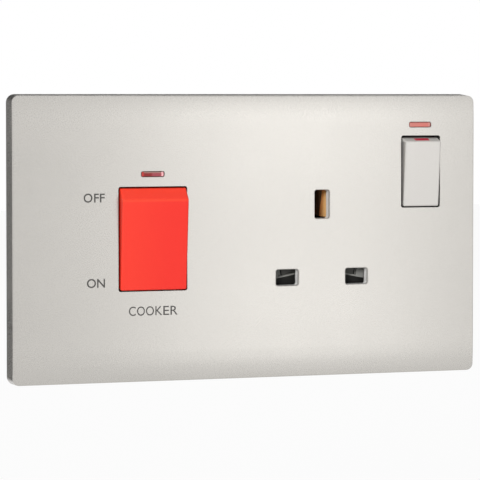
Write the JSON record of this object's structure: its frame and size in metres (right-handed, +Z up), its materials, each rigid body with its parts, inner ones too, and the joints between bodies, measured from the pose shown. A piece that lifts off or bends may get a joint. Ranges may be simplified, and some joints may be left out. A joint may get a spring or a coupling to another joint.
{
  "type": "cooker control unit",
  "caption": "Flush wall plate with a large red cooker isolator rocker, a switched three-pin socket, indicator lenses and cable terminals in a housing behind it.",
  "frame": {"origin": "middle of the plate's outline on the wall plane", "axes": "+X to the right seen from the front, +Y into the wall, +Z up"},
  "size_m": [0.1462, 0.0351, 0.0866],
  "materials": {
    "plate_nickel": "satin nickel plating with a very fine grain",
    "rocker_red": "glossy moulded urea",
    "rocker_silver": "satin metallised moulding",
    "lens_red": "clear red moulding",
    "frame_grey": "fine matt moulding",
    "housing_grey": "fine matt moulding",
    "shutter_dark": "smooth dark moulding",
    "plunger_white": "smooth slippery moulding",
    "spring_steel": "drawn wire",
    "terminal_brass": "machined and pressed brass",
    "link_copper": "pressed copper strip",
    "contact_silver": "silver rivet face",
    "screw_steel": "zinc plated",
    "lamp_glass": "clear glass",
    "resistor_tan": "coated body"
  },
  "bodies": {
    "base": {"cooker_fixed_contacts": "contact_silver", "cooker_neon_lamp": "lamp_glass", "cooker_neon_leads": "screw_steel", "cooker_neon_lens": "lens_red", "cooker_neon_resistor": "resistor_tan", "cover_plate": "plate_nickel", "earth_contact": "terminal_brass", "earth_link": "link_copper", "earth_screws": "screw_steel", "earth_terminal": "terminal_brass", "housing_screws": "screw_steel", "live_contact": "terminal_brass", "live_link": "link_copper", "load_line_terminal": "terminal_brass", "load_neutral_terminal": "terminal_brass", "neutral_contact": "terminal_brass", "neutral_link": "link_copper", "rear_housing": "housing_grey", "shutter_spring": "spring_steel", "socket_fixed_contact": "contact_silver", "socket_neon_lamp": "lamp_glass", "socket_neon_leads": "screw_steel", "socket_neon_lens": "lens_red", "socket_neon_resistor": "resistor_tan", "supply_line_terminal": "terminal_brass", "supply_neutral_terminal": "terminal_brass", "support_frame": "frame_grey", "switch_feed_strip": "terminal_brass", "switch_outlet_strip": "terminal_brass", "terminal_screws": "screw_steel"},
    "cooker_rocker": {"cooker_rocker": "rocker_red", "cooker_plunger_spring_line": "spring_steel", "cooker_plunger_spring_neutral": "spring_steel"},
    "cooker_plunger_line": {"cooker_plunger_line": "plunger_white"},
    "cooker_plunger_neutral": {"cooker_plunger_neutral": "plunger_white"},
    "cooker_arm_line": {"cooker_arm_line": "link_copper", "cooker_moving_contact_line": "contact_silver"},
    "cooker_arm_neutral": {"cooker_arm_neutral": "link_copper", "cooker_moving_contact_neutral": "contact_silver"},
    "socket_rocker": {"socket_rocker": "rocker_silver", "socket_on_flag": "rocker_red", "socket_plunger_spring": "spring_steel"},
    "socket_plunger": {"socket_plunger": "plunger_white"},
    "socket_arm": {"socket_arm": "link_copper", "socket_moving_contact": "contact_silver"},
    "shutter": {"shutter": "shutter_dark"}
  },
  "joints": [
    {"name": "cooker_rocker_tilt", "type": "hinge", "parent": "base", "child": "cooker_rocker", "pos_m": [-0.03, -0.0017, 0], "axis": [-1, 0, 0], "range_deg": [0, 12]},
    {"name": "cooker_arm_line_swing", "type": "hinge", "parent": "base", "child": "cooker_arm_line", "pos_m": [-0.0356, 0.01342, 0], "axis": [1, 0, 0], "range_deg": [0, 20]},
    {"name": "cooker_arm_neutral_swing", "type": "hinge", "parent": "base", "child": "cooker_arm_neutral", "pos_m": [-0.0244, 0.01342, 0], "axis": [1, 0, 0], "range_deg": [0, 20]},
    {"name": "cooker_plunger_line_slide", "type": "slide", "parent": "cooker_rocker", "child": "cooker_plunger_line", "axis": [0, -0.9945, -0.1045], "range_m": [0, 0.00035], "stiffness_N_per_m": 800, "springref_m": -0.002},
    {"name": "cooker_plunger_neutral_slide", "type": "slide", "parent": "cooker_rocker", "child": "cooker_plunger_neutral", "axis": [0, -0.9945, -0.1045], "range_m": [0, 0.00035], "stiffness_N_per_m": 800, "springref_m": -0.002},
    {"name": "socket_rocker_tilt", "type": "hinge", "parent": "base", "child": "socket_rocker", "pos_m": [0.055, -0.0017, 0.0194], "axis": [-1, 0, 0], "range_deg": [0, 12]},
    {"name": "socket_arm_swing", "type": "hinge", "parent": "base", "child": "socket_arm", "pos_m": [0.055, 0.01342, 0.0194], "axis": [1, 0, 0], "range_deg": [0, 20]},
    {"name": "socket_plunger_slide", "type": "slide", "parent": "socket_rocker", "child": "socket_plunger", "axis": [0, -0.9945, -0.1045], "range_m": [0, 0.00035], "stiffness_N_per_m": 800, "springref_m": -0.002},
    {"name": "shutter_slide", "type": "slide", "parent": "base", "child": "shutter", "axis": [0, 0, 1], "range_m": [0, 0.0072], "stiffness_N_per_m": 120, "springref_m": -0.006, "deforming": ["shutter_spring"]}
  ],
  "couplings": [
    {"joint": "cooker_arm_line_swing", "follows": "cooker_rocker_tilt", "ratio": 1.6667},
    {"joint": "cooker_arm_neutral_swing", "follows": "cooker_rocker_tilt", "ratio": 1.6667},
    {"joint": "socket_arm_swing", "follows": "socket_rocker_tilt", "ratio": 1.6667}
  ]
}
